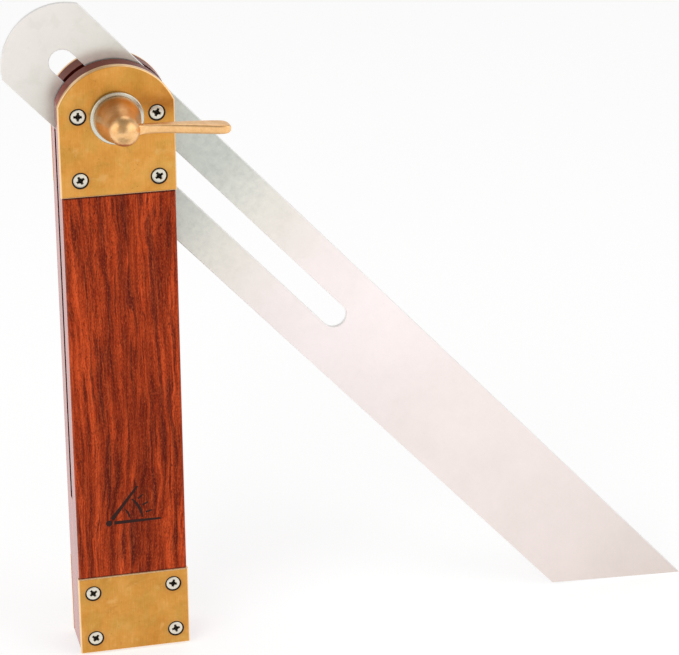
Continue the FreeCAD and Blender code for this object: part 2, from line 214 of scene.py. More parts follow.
# --------------------------------------------------------------- materials
def wood_material():
    """Red hardwood: long straight dark streaks, fine fibres and short dark pores,
    with a thin finish that shows at a glancing angle; its pale pink tint there is a painted sheen."""
    w = Mat("rosewood_finished")
    p = w.pos_mm()
    x, y, z = w.sep(p)

    def warp(sx, sz, seed, detail=1.0):
        v = w.comb(w.math("MULTIPLY", x, sx), w.math("MULTIPLY", y, sx), w.math("MULTIPLY", z, sz))
        return w.math("SUBTRACT", w.noise(v, 1.0, detail, 0.5, 0.0, seed), 0.5)

    # the grain leans and wanders a little along the handle
    off = w.math("MULTIPLY", warp(0.035, 0.014, 3.1), 6.0)
    off = w.math("ADD", off, w.math("MULTIPLY", warp(0.15, 0.040, 8.4), 3.4))
    off = w.math("ADD", off, w.math("MULTIPLY", warp(0.42, 0.110, 12.9), 1.3))
    off = w.math("ADD", off, w.math("MULTIPLY", warp(1.10, 0.300, 15.3), 0.42))
    gx = w.math("ADD", x, off)
    gy = w.math("ADD", y, w.math("MULTIPLY", off, 0.6))

    def grain(sx, sz, detail, rough, seed, distort=0.0):
        v = w.comb(w.math("MULTIPLY", gx, sx), w.math("MULTIPLY", gy, sx), w.math("MULTIPLY", z, sz))
        return w.noise(v, 1.0, detail, rough, distort, seed)

    broad = grain(0.20, 0.013, 2.0, 0.5, 1.7)
    band = grain(0.52, 0.026, 2.0, 0.5, 5.2)
    streak = grain(1.25, 0.050, 3.0, 0.60, 2.9)
    fibre = grain(3.2, 0.170, 3.0, 0.65, 7.7)
    micro = grain(6.5, 1.70, 2.0, 0.6, 14.2)
    t = w.math("ADD", w.math("MULTIPLY", broad, 0.24), w.math("MULTIPLY", band, 0.36))
    t = w.math("ADD", t, w.math("MULTIPLY", streak, 0.28))
    t = w.math("ADD", t, w.math("MULTIPLY", fibre, 0.12))
    base = w.ramp(t, [
        (0.39, (0.100, 0.0095, 0.0038)), (0.455, (0.210, 0.0205, 0.0060)), (0.50, (0.335, 0.0370, 0.0088)),
        (0.545, (0.495, 0.0590, 0.0135)), (0.61, (0.655, 0.0920, 0.0240))])
    # maroon streaks, soft at the sides and long
    dk = grain(0.60, 0.024, 3.0, 0.5, 11.3, 0.15)
    dk2 = grain(1.35, 0.045, 3.0, 0.55, 17.6, 0.15)
    m1 = w.remap(dk, 0.540, 0.640, 0.0, 0.84, True)
    m2 = w.remap(dk2, 0.555, 0.655, 0.0, 0.78, True)
    base = w.mix(m1, base, (0.078, 0.0090, 0.0068))
    base = w.mix(m2, base, (0.068, 0.0080, 0.0055))
    # thin veins that follow the grain
    v1 = w.remap(w.math("ABSOLUTE", w.math("SUBTRACT", grain(0.42, 0.017, 2.0, 0.5, 33.1), 0.5)), 0.020, 0.004, 0.0, 0.62, True)
    v2 = w.remap(w.math("ABSOLUTE", w.math("SUBTRACT", grain(0.85, 0.033, 2.0, 0.5, 37.4), 0.52)), 0.026, 0.006, 0.0, 0.50, True)
    fade = w.remap(grain(0.30, 0.050, 2.0, 0.5, 41.0), 0.42, 0.58, 0.25, 1.0)
    base = w.mix(w.math("MULTIPLY", w.math("MAXIMUM", v1, v2), fade), base, (0.070, 0.0085, 0.0055))
    # fibres and fine speckle
    base = w.mix(w.remap(fibre, 0.50, 0.66, 0.0, 0.60), base, (0.100, 0.0110, 0.0050))
    base = w.mix(w.remap(fibre, 0.50, 0.34, 0.0, 0.26), base, (0.700, 0.1300, 0.0320))
    base = w.mix(w.remap(micro, 0.51, 0.66, 0.0, 0.60), base, (0.090, 0.0090, 0.0045))
    base = w.mix(w.remap(micro, 0.47, 0.30, 0.0, 0.32), base, (0.700, 0.1450, 0.0520))
    # pores: short dark dashes along the grain
    def dashes(sx, sz, r0, r1, seed, lo, hi):
        v = w.comb(w.math("MULTIPLY", gx, sx), w.math("MULTIPLY", gy, sx), w.math("MULTIPLY", z, sz))
        cell = w.voronoi(v, 1.0, 1.0)
        some = grain(0.45, 0.04, 2.0, 0.5, seed)
        return w.math("MULTIPLY", w.remap(cell, r0, r1, 0.0, 1.0, True), w.remap(some, lo, hi, 0.0, 1.0))
    pore = dashes(2.1, 0.42, 0.21, 0.09, 6.6, 0.42, 0.56)
    pore2 = dashes(3.4, 0.90, 0.20, 0.08, 26.6, 0.38, 0.58)
    pore = w.math("MAXIMUM", pore, w.math("MULTIPLY", pore2, 0.7))
    base = w.mix(w.math("MULTIPLY", pore, 0.75), base, (0.030, 0.0070, 0.0060))
    # end grain on the rounded top and the butt: browner and finely speckled
    n = w.sep(w.geo.outputs["Normal"])
    end = w.remap(w.math("ABSOLUTE", n[2]), 0.35, 0.80, 0.0, 1.0, True)
    speck = w.noise(w.vmath("SCALE", w.comb(x, y, w.math("MULTIPLY", z, 0.6)), scale=2.6), 1.0, 3.0, 0.6, seed=9.0)
    rays = w.noise(w.comb(w.math("MULTIPLY", x, 4.2), w.math("MULTIPLY", y, 0.35), 0.0), 1.0, 2.0, 0.6, seed=19.0)
    ends = w.mix(w.math("ADD", w.math("MULTIPLY", speck, 0.6), w.math("MULTIPLY", rays, 0.5)), (0.075, 0.0210, 0.0130), (0.225, 0.0620, 0.0380))
    base = w.mix(end, base, ends)
    # the saw slot is painted dark: painted shade in the narrow slot
    slot_shade = w.remap(w.math("ABSOLUTE", y), SLOT_HALF + 0.06, SLOT_HALF + 0.02, 0.0, 1.0)
    slot_shade = w.math("MULTIPLY", slot_shade, w.remap(z, SLOT_LOW - 0.06, SLOT_LOW - 0.02, 0.0, 1.0))
    base = w.mix(slot_shade, base, (0.050, 0.0050, 0.0030))
    # a dark line painted on the wood where it meets the brass plates
    hb = w.math("MINIMUM", w.math("ABSOLUTE", w.math("ADD", z, 18.68)), w.math("ABSOLUTE", w.math("ADD", z, 116.12)))
    base = w.mix(w.remap(hb, 0.34, 0.08, 0.0, 0.85), base, (0.030, 0.0080, 0.0060))
    # long edges painted paler: a painted highlight on the rounded edges
    edge = w.math("MULTIPLY", w.remap(w.math("ABSOLUTE", x), 12.75, 13.15, 0.0, 1.0), w.remap(w.math("ABSOLUTE", y), 6.8, 7.15, 0.0, 1.0))
    base = w.mix(w.math("MULTIPLY", edge, 0.30), base, (0.46, 0.120, 0.060))
    h = w.math("SUBTRACT", w.math("MULTIPLY", fibre, 0.35), w.math("MULTIPLY", pore, 1.0))
    h = w.math("ADD", h, w.math("MULTIPLY", micro, 0.18))
    bump = w.bump(h, 0.00005, 0.5)
    # the finish: hardly seen face on, a pale sheen when seen at a glancing angle, partly a coat and partly a painted
    # sheen in the base colour
    lw = w.t.nodes.new("ShaderNodeLayerWeight")
    lw.inputs["Blend"].default_value = 0.5
    sheen = w.math("MULTIPLY", w.remap(lw.outputs["Facing"], 0.60, 0.84, 0.0, 1.0, True), w.math("SUBTRACT", 1.0, slot_shade))
    sheen = w.math("MULTIPLY", sheen, w.math("SUBTRACT", 1.0, w.math("MULTIPLY", end, 0.75)))
    # painted sheen: the base colour is tinted pale pink at glancing angles
    base = w.mix(w.math("MULTIPLY", sheen, 0.42), base, (0.62, 0.225, 0.215))
    spec = w.math("MULTIPLY", w.math("ADD", 0.035, w.math("MULTIPLY", sheen, 0.06)), w.math("SUBTRACT", 1.0, slot_shade))
    # painted light: the end grain glows for reflection rays only, brightening its reflection in the blade
    lp = w.t.nodes.new("ShaderNodeLightPath")
    end_grain_reflection_glow = w.math("MULTIPLY", w.math("MULTIPLY", end, lp.outputs["Is Glossy Ray"]), 0.42)
    w.principled(Base_Color=base, Roughness=w.math("ADD", 0.40, w.math("MULTIPLY", fibre, 0.16)), IOR=1.45,
                 Emission_Color=(1.0, 0.80, 0.74, 1.0), Emission_Strength=end_grain_reflection_glow,
                 Specular_IOR_Level=spec, Normal=bump,
                 Coat_Weight=w.math("MULTIPLY", sheen, 0.60), Coat_Roughness=0.20, Coat_IOR=1.5, Coat_Normal=w.bump(h, 0.00002, 0.25))
    return w.m


def brass_plate_material(name, centres, tone, seed):
    """Satin sheet brass: faint brushing up the handle, soft mottling, a few
    specks, a painted highlight on the rim, painted shade in the screw seats and a painted gradient of light up the
    plate."""
    w = Mat(name)
    p = w.pos_mm()
    x, y, z = w.sep(p)
    mott = w.noise(w.vmath("SCALE", p, scale=0.13), 1.0, 4.0, 0.55, 0.3, seed)
    fine = w.noise(w.vmath("SCALE", p, scale=0.75), 1.0, 4.0, 0.65, 0.2, seed + 2.0)
    brush = w.noise(w.comb(w.math("MULTIPLY", x, 6.0), w.math("MULTIPLY", y, 6.0), w.math("MULTIPLY", z, 0.22)),
                    1.0, 3.0, 0.6, seed=seed + 4.0)
    cross = w.noise(w.comb(w.math("MULTIPLY", x, 0.30), w.math("MULTIPLY", y, 3.0), w.math("MULTIPLY", z, 4.2)),
                    1.0, 2.0, 0.5, seed=seed + 6.0)
    t = w.math("ADD", w.math("MULTIPLY", mott, 0.50), w.math("MULTIPLY", fine, 0.28))
    t = w.math("ADD", t, w.math("MULTIPLY", brush, 0.22))
    base = w.ramp(t, [(0.36, (0.520, 0.220, 0.038)), (0.50, (0.615, 0.287, 0.060)), (0.64, (0.705, 0.362, 0.096))])
    base = w.mix(1.0, base, tone, "MULTIPLY")
    # painted light: the plate is paler towards its bottom and darker and warmer towards its top
    base = w.mix(1.0, base, w.mix(w.remap(z, -18.0, 4.0, 0.0, 1.0, True), (1.03, 1.04, 1.06), (0.95, 0.925, 0.86)), "MULTIPLY")
    # faint cross-hatched rub marks
    hatch = w.math("MULTIPLY", w.remap(brush, 0.56, 0.70, 0.0, 1.0), w.remap(cross, 0.45, 0.62, 0.0, 1.0))
    base = w.mix(w.math("MULTIPLY", hatch, 0.35), base, (0.80, 0.44, 0.14))
    speck = w.remap(w.voronoi(w.vmath("SCALE", p, scale=0.50), 1.0, 1.0), 0.080, 0.040, 0.0, 1.0, True)
    base = w.mix(w.math("MULTIPLY", speck, 0.50), base, (0.20, 0.080, 0.020))
    stain = w.remap(w.noise(w.vmath("SCALE", p, scale=0.30), 1.0, 5.0, 0.7, 0.6, seed + 9.0), 0.56, 0.72, 0.0, 0.50, True)
    base = w.mix(stain, base, (0.46, 0.190, 0.036))
    pale = w.remap(w.noise(w.vmath("SCALE", p, scale=0.24), 1.0, 4.0, 0.6, 0.4, seed + 12.0), 0.56, 0.70, 0.0, 0.40, True)
    base = w.mix(pale, base, (0.70, 0.420, 0.150))
    olive = w.remap(w.noise(w.vmath("SCALE", p, scale=0.16), 1.0, 4.0, 0.6, 0.5, seed + 15.0), 0.47, 0.62, 0.0, 0.55, True)
    base = w.mix(olive, base, w.mix(1.0, base, (0.86, 1.02, 1.04), "MULTIPLY"))
    ny = w.math("ABSOLUTE", w.sep(w.geo.outputs["Normal"])[1])
    # screw seats: anything below the face and close to a screw, painted dark as painted shade, with a painted shade
    # ring at the edge of each hole
    near = None
    for cx, cz in centres:
        d = w.vmath("LENGTH", w.comb(w.math("SUBTRACT", x, cx), 0.0, w.math("SUBTRACT", z, cz)))
        near = d if near is None else w.math("MINIMUM", near, d)
    seat = w.math("MULTIPLY", w.remap(near, 2.10, 2.04, 0.0, 1.0), w.remap(ny, 0.995, 0.97, 0.0, 1.0))
    ring = w.remap(near, 2.10, 1.98, 0.0, 0.70, True)
    halo = w.remap(near, 3.2, 2.0, 0.0, 0.25, True)
    base = w.mix(halo, base, (0.36, 0.15, 0.04))
    # painted highlight: the rounded rim is painted pale cream
    rim = w.math("MULTIPLY", w.remap(ny, 0.99, 0.80, 0.0, 1.0, True), w.remap(near, 2.05, 2.12, 0.0, 1.0))
    base = w.mix(w.math("MULTIPLY", rim, 0.70), base, (0.96, 0.70, 0.42))
    base = w.mix(ring, base, (0.050, 0.026, 0.012))
    base = w.mix(seat, base, (0.022, 0.012, 0.007))
    rough = w.math("ADD", 0.25, w.math("MULTIPLY", fine, 0.16))
    rough = w.math("ADD", rough, w.math("MULTIPLY", stain, 0.20))
    rough = w.math("ADD", rough, w.math("MULTIPLY", seat, 0.5))
    h = w.math("ADD", w.math("MULTIPLY", brush, 0.6), w.math("MULTIPLY", cross, 0.25))
    h = w.math("ADD", h, w.math("MULTIPLY", mott, 1.5))
    bump = w.bump(h, 0.00003, 0.35)
    w.principled(Base_Color=base, Metallic=w.math("SUBTRACT", 1.0, w.math("MULTIPLY", seat, 0.8)), Roughness=rough, Normal=bump,
                 Anisotropic=0.25)
    return w.m


def cast_brass_material():
    """Cast and hand-polished brass, pinker than the sheet."""
    w = Mat("lever_cast_brass")
    p = w.pos_mm()
    n1 = w.noise(w.vmath("SCALE", p, scale=0.45), 1.0, 4.0, 0.6, 0.4, 21.0)
    n2 = w.noise(w.vmath("SCALE", p, scale=2.4), 1.0, 4.0, 0.65, 0.0, 23.0)
    t = w.math("ADD", w.math("MULTIPLY", n1, 0.6), w.math("MULTIPLY", n2, 0.4))
    base = w.ramp(t, [(0.36, (0.690, 0.382, 0.150)), (0.50, (0.790, 0.472, 0.212)), (0.66, (0.870, 0.568, 0.292))])
    pit = w.remap(w.voronoi(w.vmath("SCALE", p, scale=1.1), 1.0, 1.0), 0.10, 0.05, 0.0, 1.0, True)
    base = w.mix(w.math("MULTIPLY", pit, 0.30), base, (0.30, 0.12, 0.04))
    # painted shade where the foot meets the washer
    y = w.sep(p)[1]
    low = w.remap(y, WASHER_Y * 1000 - 0.9, WASHER_Y * 1000 - 0.1, 0.0, 0.55, True)
    base = w.mix(low, base, (0.20, 0.085, 0.03))
    rough = w.math("ADD", 0.27, w.math("MULTIPLY", n2, 0.13))
    h = w.math("ADD", w.math("MULTIPLY", n1, 0.6), w.math("SUBTRACT", w.math("MULTIPLY", n2, 0.16), w.math("MULTIPLY", pit, 0.12)))
    w.principled(Base_Color=base, Metallic=1.0, Roughness=rough, Normal=w.bump(h, 0.00010, 0.40))
    return w.m


def blade_material():
    """Ground steel strip: fine lines along its length, faint cloudy stains, a
    greyer stretch of painted shade where it leaves the handle."""
    w = Mat("blade_ground_steel")
    p = w.rotate_y(w.pos_mm(), -BLADE_DOWN, (0.0, 0.0, 0.0))
    u, y, v = w.sep(p)
    line = w.noise(w.comb(w.math("MULTIPLY", u, 0.035), 0.0, w.math("MULTIPLY", v, 9.0)), 1.0, 4.0, 0.62, seed=31.0)
    line2 = w.noise(w.comb(w.math("MULTIPLY", u, 0.012), 0.0, w.math("MULTIPLY", v, 2.6)), 1.0, 3.0, 0.6, seed=33.0)
    cloud = w.noise(w.vmath("SCALE", p, scale=0.050), 1.0, 5.0, 0.60, 0.4, 35.0)
    cloud2 = w.noise(w.vmath("SCALE", p, scale=0.25), 1.0, 4.0, 0.6, 0.3, 37.0)
    grit = w.noise(w.vmath("SCALE", p, scale=2.2), 1.0, 3.0, 0.7, 0.0, 38.0)
    # tone along the blade is painted light: paler past the slot, with painted shade greyer near the pivot
    ua = w.math("ADD", u, w.math("MULTIPLY", w.math("SUBTRACT", cloud2, 0.5), 7.0))
    base = w.ramp(w.remap(ua, -32.0, 208.0, 0.0, 1.0), [
        (0.000, (0.735, 0.690, 0.655)), (0.050, (0.695, 0.668, 0.625)), (0.125, (0.600, 0.598, 0.540)),
        (0.190, (0.500, 0.525, 0.475)), (0.245, (0.490, 0.515, 0.474)), (0.285, (0.605, 0.605, 0.556)),
        (0.320, (0.715, 0.685, 0.625)), (0.395, (0.840, 0.762, 0.742)), (0.470, (0.880, 0.800, 0.790)),
        (0.620, (0.805, 0.722, 0.697)), (0.800, (0.742, 0.660, 0.634)), (1.000, (0.615, 0.540, 0.500))])
    t = w.math("ADD", w.math("MULTIPLY", cloud, 0.55), w.math("MULTIPLY", cloud2, 0.25))
    t = w.math("ADD", t, w.math("MULTIPLY", line, 0.20))
    base = w.mix(1.0, base, w.ramp(t, [(0.36, (0.955, 0.955, 0.945)), (0.50, (1.0, 1.0, 1.0)), (0.64, (1.035, 1.035, 1.04))]), "MULTIPLY")
    base = w.mix(w.remap(grit, 0.55, 0.75, 0.0, 0.10), base, (0.50, 0.50, 0.49))
    # mottled tarnish, strongest beside the handle
    spots = w.noise(w.vmath("SCALE", p, scale=0.70), 1.0, 5.0, 0.68, 0.3, 39.0)
    near = w.remap(w.math("ABSOLUTE", w.math("SUBTRACT", ua, 20.0)), 36.0, 14.0, 0.10, 0.85)
    base = w.mix(near, base, w.mix(1.0, base, w.ramp(spots, [(0.36, (0.890, 0.900, 0.905)), (0.50, (1.0, 1.0, 1.0)), (0.64, (1.075, 1.075, 1.065))]), "MULTIPLY"))
    # fine scratches along the length
    scr = w.noise(w.comb(w.math("MULTIPLY", u, 0.055), 0.0, w.math("MULTIPLY", v, 14.0)), 1.0, 2.0, 0.5, seed=44.0)
    base = w.mix(w.remap(scr, 0.68, 0.76, 0.0, 0.22), base, (0.45, 0.44, 0.43))
    ny = w.math("ABSOLUTE", w.sep(w.geo.outputs["Normal"])[1])
    # the narrow edges and their breaks are made less metallic and painted pale: a painted highlight along the edges
    side = w.remap(ny, 0.97, 0.80, 0.0, 1.0)
    base = w.mix(w.math("MULTIPLY", side, 0.80), base, (0.80, 0.79, 0.77))
    # a little greenish painted shade near the pivot end
    pivot_end_shade = w.math("MULTIPLY", w.remap(cloud2, 0.50, 0.66, 0.0, 0.16, True), w.remap(u, 42.0, -6.0, 0.0, 1.0))
    base = w.mix(pivot_end_shade, base, (0.46, 0.47, 0.40))
    rough = w.math("ADD", 0.25, w.math("MULTIPLY", line, 0.12))
    rough = w.math("ADD", rough, w.math("MULTIPLY", cloud2, 0.06))
    h = w.math("ADD", w.math("MULTIPLY", line, 0.5), w.math("MULTIPLY", line2, 0.5))
    metal = w.math("SUBTRACT", 0.72, w.math("MULTIPLY", side, 0.60))
    w.principled(Base_Color=base, Metallic=metal, Roughness=rough, Normal=w.bump(h, 0.000012, 0.4), Anisotropic=0.35)
    return w.m


def plated_material(name, base_a, base_b, rough0, recess=False, turned=False):
    """Bright plated steel. recess: dark grime and painted shade deep in the driver recess of a screw."""
    w = Mat(name)
    p = w.pos_mm()
    x, y, z = w.sep(p)
    n1 = w.noise(w.vmath("SCALE", p, scale=1.4), 1.0, 4.0, 0.6, 0.2, 41.0)
    base = w.mix(n1, base_a, base_b)
    rough = w.math("ADD", rough0, w.math("MULTIPLY", n1, 0.12))
    h = n1
    if turned:
        r = w.vmath("LENGTH", w.comb(x, 0.0, z))
        rings = w.noise(w.comb(w.math("MULTIPLY", r, 9.0), 0.0, 0.0), 1.0, 2.0, 0.5, seed=43.0)
        h = w.math("ADD", w.math("MULTIPLY", n1, 0.4), rings)
    if recess:
        # grime and painted shade: the recess darkens with depth below the head
        below = w.math("SUBTRACT", -FRONT_Y * 1000, w.math("ABSOLUTE", y))
        grime_and_shade = w.remap(below, 0.12, 0.34, 0.0, 1.0, True)
        base = w.mix(grime_and_shade, base, (0.045, 0.036, 0.026))
        rough = w.math("ADD", rough, w.math("MULTIPLY", grime_and_shade, 0.35))
    w.principled(Base_Color=base, Metallic=1.0, Roughness=rough, Normal=w.bump(h, 0.00002, 0.3))
    return w.m


def burnt_material():
    w = Mat("burnt_mark")
    p = w.pos_mm()
    n1 = w.noise(w.vmath("SCALE", p, scale=3.0), 1.0, 4.0, 0.6, 0.0, 51.0)
    base = w.mix(n1, (0.010, 0.004, 0.003), (0.040, 0.012, 0.008))
    w.principled(Base_Color=base, Roughness=0.75, Specular_IOR_Level=0.2, Normal=w.bump(n1, 0.00004, 0.6))
    return w.m


def dress(obj, mat, smooth_deg=35.0):
    obj.data.materials.clear()
    obj.data.materials.append(mat)
    for poly in obj.data.polygons:
        poly.material_index = 0


# ------------------------------------------------------------ mesh helpers
def new_object(name, bm, mat, body, smooth_angle=40.0):
    me = bpy.data.meshes.new(name)
    bmesh.ops.recalc_face_normals(bm, faces=bm.faces)
    bm.to_mesh(me)
    bm.free()
    ob = bpy.data.objects.new(name, me)
    SCENE.collection.objects.link(ob)
    me.materials.append(mat)
    me.shade_smooth()
    if smooth_angle is not None:
        me.set_sharp_from_angle(angle=math.radians(smooth_angle))
    if body:
        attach(ob, body)
    return ob


def lathe(bm, profile, segments=64):
    """Closed solid of revolution about the local Y axis from (radius, y) points;
    the first and last points may lie on the axis."""
    rings = []
    for r, y in profile:
        if r < 1e-9:
            rings.append([bm.verts.new((0.0, y, 0.0))])
        else:
            rings.append([bm.verts.new((r * math.cos(2 * math.pi * i / segments), y, r * math.sin(2 * math.pi * i / segments)))
                          for i in range(segments)])
    for a, b in zip(rings, rings[1:]):
        if len(a) == 1 and len(b) == 1:
            continue
        for i in range(segments):
            j = (i + 1) % segments
            if len(a) == 1:
                bm.faces.new((a[0], b[i], b[j]))
            elif len(b) == 1:
                bm.faces.new((a[i], b[0], a[j]))
            else:
                bm.faces.new((a[i], b[i], b[j], a[j]))
    return rings


def catmull(points, per=6):
    """Smooth curve through the points."""
    out = []
    n = len(points)
    for i in range(n - 1):
        p0, p1, p2, p3 = points[max(i - 1, 0)], points[i], points[i + 1], points[min(i + 2, n - 1)]
        for k in range(per):
            t = k / per
            out.append(tuple(0.5 * ((2 * b) + (-a + c) * t + (2 * a - 5 * b + 4 * c - d) * t * t + (-a + 3 * b - 3 * c + d) * t ** 3)
                             for a, b, c, d in zip(p0, p1, p2, p3)))
    out.append(points[-1])
    return out


# --------------------------------------------------------- plate screws
def screw_master():
    """One cross-recess countersunk head screw, axis Y, head face at y = 0 and the
    point towards +Y, in millimetres."""
    bm = bmesh.new()
    prof = [(0.0, -0.035), (0.7, -0.030), (1.25, -0.012), (1.52, 0.0), (1.61, 0.03), (1.665, 0.09), (1.675, 0.15), (1.66, 0.21),
            (0.95, 0.95), (0.80, 1.05)]
    y = 1.15
    while y < 4.4:      # coarse wood-screw thread drawn as ridges
        prof += [(0.66, y), (0.66, y + 0.22), (0.93, y + 0.40), (0.93, y + 0.46), (0.66, y + 0.62)]
        y += 0.72
    prof += [(0.60, y + 0.1), (0.42, 5.1), (0.0, 5.95)]
    lathe(bm, prof, 72)
    bmesh.ops.recalc_face_normals(bm, faces=bm.faces)
    me = bpy.data.meshes.new("screw_master")
    bm.to_mesh(me)
    bm.free()
    body = bpy.data.objects.new("screw_master", me)
    SCENE.collection.objects.link(body)
    # the recess: four tapered wings round a tapered square well
    cut = bmesh.new()
    for q in range(4):
        a = math.radians(90 * q)
        c, s = math.cos(a), math.sin(a)

        def v(l, w_, d):
            return cut.verts.new((c * l - s * w_, d, s * l + c * w_))
        top, deep = -0.4, 0.66
        k0, k1 = 0.03, 1.34                       # length from near the axis to the wing's end
        t = [v(k0, -0.37, top), v(k1, -0.35, top), v(k1, 0.35, top), v(k0, 0.37, top)]
        b = [v(k0, -0.21, deep), v(0.58, -0.17, deep), v(0.58, 0.17, deep), v(k0, 0.21, deep)]
        cut.faces.new(t[::-1])
        cut.faces.new(b)
        for i in range(4):
            j = (i + 1) % 4
            cut.faces.new((t[i], t[j], b[j], b[i]))
    bmesh.ops.recalc_face_normals(cut, faces=cut.faces)
    well = bmesh.new()
    ring_t, ring_b = [], []
    for i in range(4):
        a = math.radians(45 + 90 * i)
        ring_t.append(well.verts.new((0.90 * math.cos(a), -0.4, 0.90 * math.sin(a))))
        ring_b.append(well.verts.new((0.28 * math.cos(a), 0.86, 0.28 * math.sin(a))))
    well.faces.new(ring_t[::-1])
    well.faces.new(ring_b)
    for i in range(4):
        j = (i + 1) % 4
        well.faces.new((ring_t[i], ring_t[j], ring_b[j], ring_b[i]))
    bmesh.ops.recalc_face_normals(well, faces=well.faces)
    cutters = []
    for nm, b in (("wings", cut), ("well", well)):
        m = bpy.data.meshes.new(nm)
        b.to_mesh(m)
        b.free()
        o = bpy.data.objects.new(nm, m)
        SCENE.collection.objects.link(o)
        cutters.append(o)
    for o in cutters:
        md = body.modifiers.new(o.name, "BOOLEAN")
        md.operation, md.solver, md.object = "DIFFERENCE", "EXACT", o
        md.use_self = True
    bv = body.modifiers.new("ease", "BEVEL")
    bv.width, bv.segments, bv.limit_method, bv.angle_limit = 0.03, 2, "ANGLE", math.radians(38)
    dg = bpy.context.evaluated_depsgraph_get()
    done = bpy.data.meshes.new_from_object(body.evaluated_get(dg))
    for o in [body] + cutters:
        bpy.data.objects.remove(o)
    return done


def screw_set(name, node, side, turns, mat):
    """Four screws where the CAD has them: each centre is read from its CAD solid."""
    src = NODES[node]
    centres = solid_centres(src)
    bm = bmesh.new()
    face = (FRONT_Y if side < 0 else REAR_Y) * 1000
    for (cx, cz), t in zip(centres, turns):
        part = bmesh.new()
        part.from_mesh(MASTER)
        m = Matrix.Translation((cx, face - side * 0.06, cz)) @ Matrix.Rotation(math.radians(180.0 if side > 0 else 0.0), 4, "Z") \
            @ Matrix.Rotation(math.radians(t), 4, "Y")
        part.transform(m)
        tmp = bpy.data.meshes.new("tmp")
        part.to_mesh(tmp)
        part.free()
        bm.from_mesh(tmp)
        bpy.data.meshes.remove(tmp)
    bm.transform(Matrix.Scale(MM, 4))
    ob = new_object(name, bm, mat, "stock", 32.0)
    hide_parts(node)
    return ob


def solid_centres(obj):
    """(x, z) of each separate solid of a node in millimetres, sorted from the top
    down and then from left to right."""
    bm = bmesh.new()
    bm.from_mesh(obj.data)
    bmesh.ops.remove_doubles(bm, verts=bm.verts, dist=1e-6)
    seen, out = set(), []
    for v in bm.verts:
        if v.index in seen:
            continue
        stack, grp = [v], []
        seen.add(v.index)
        while stack:
            a = stack.pop()
            grp.append(a.co.copy())
            for e in a.link_edges:
                b = e.other_vert(a)
                if b.index not in seen:
                    seen.add(b.index)
                    stack.append(b)
        xs = [c.x for c in grp]
        zs = [c.z for c in grp]
        out.append(((min(xs) + max(xs)) * 500, (min(zs) + max(zs)) * 500))
    bm.free()
    out.sort(key=lambda c: (-round(c[1] / 4.0), c[0]))
    return out


# ------------------------------------------------------------------ lever
HUB = [(0.0, 13.10), (0.95, 12.97), (1.87, 12.55), (2.66, 11.83), (3.24, 10.85), (3.55, 9.80),
       (3.69, 8.90), (3.83, 8.00), (4.01, 7.10), (4.23, 6.20), (4.47, 5.20), (4.73, 4.20),
       (4.97, 3.20), (5.18, 2.20), (5.33, 1.20), (5.41, 0.50), (5.42, 0.26)]
ARM = [(1.2, 9.40, 3.20, 4.20, 0.20), (2.6, 9.32, 2.60, 3.00, 0.22), (3.7, 9.28, 2.28, 2.05, 0.24),
       (4.7, 9.22, 2.18, 1.80, 0.29), (6.0, 9.17, 2.10, 1.85, 0.33), (8.0, 9.16, 2.08, 2.10, 0.32),
       (10.3, 9.12, 2.10, 2.60, 0.28), (12.5, 9.12, 2.14, 3.15, 0.22), (14.7, 9.20, 2.17, 3.70, 0.17),
       (17.0, 9.42, 2.18, 4.10, 0.15), (19.2, 9.65, 2.18, 4.50, 0.13), (21.3, 9.92, 2.18, 4.80, 0.11),
       (22.7, 10.10, 2.10, 4.50, 0.12), (23.5, 10.20, 1.80, 3.70, 0.12), (24.0, 10.25, 1.20, 2.50, 0.12),
       (24.25, 10.28, 0.50, 1.10, 0.12)]
LEVER_DROP = math.radians(2.0)


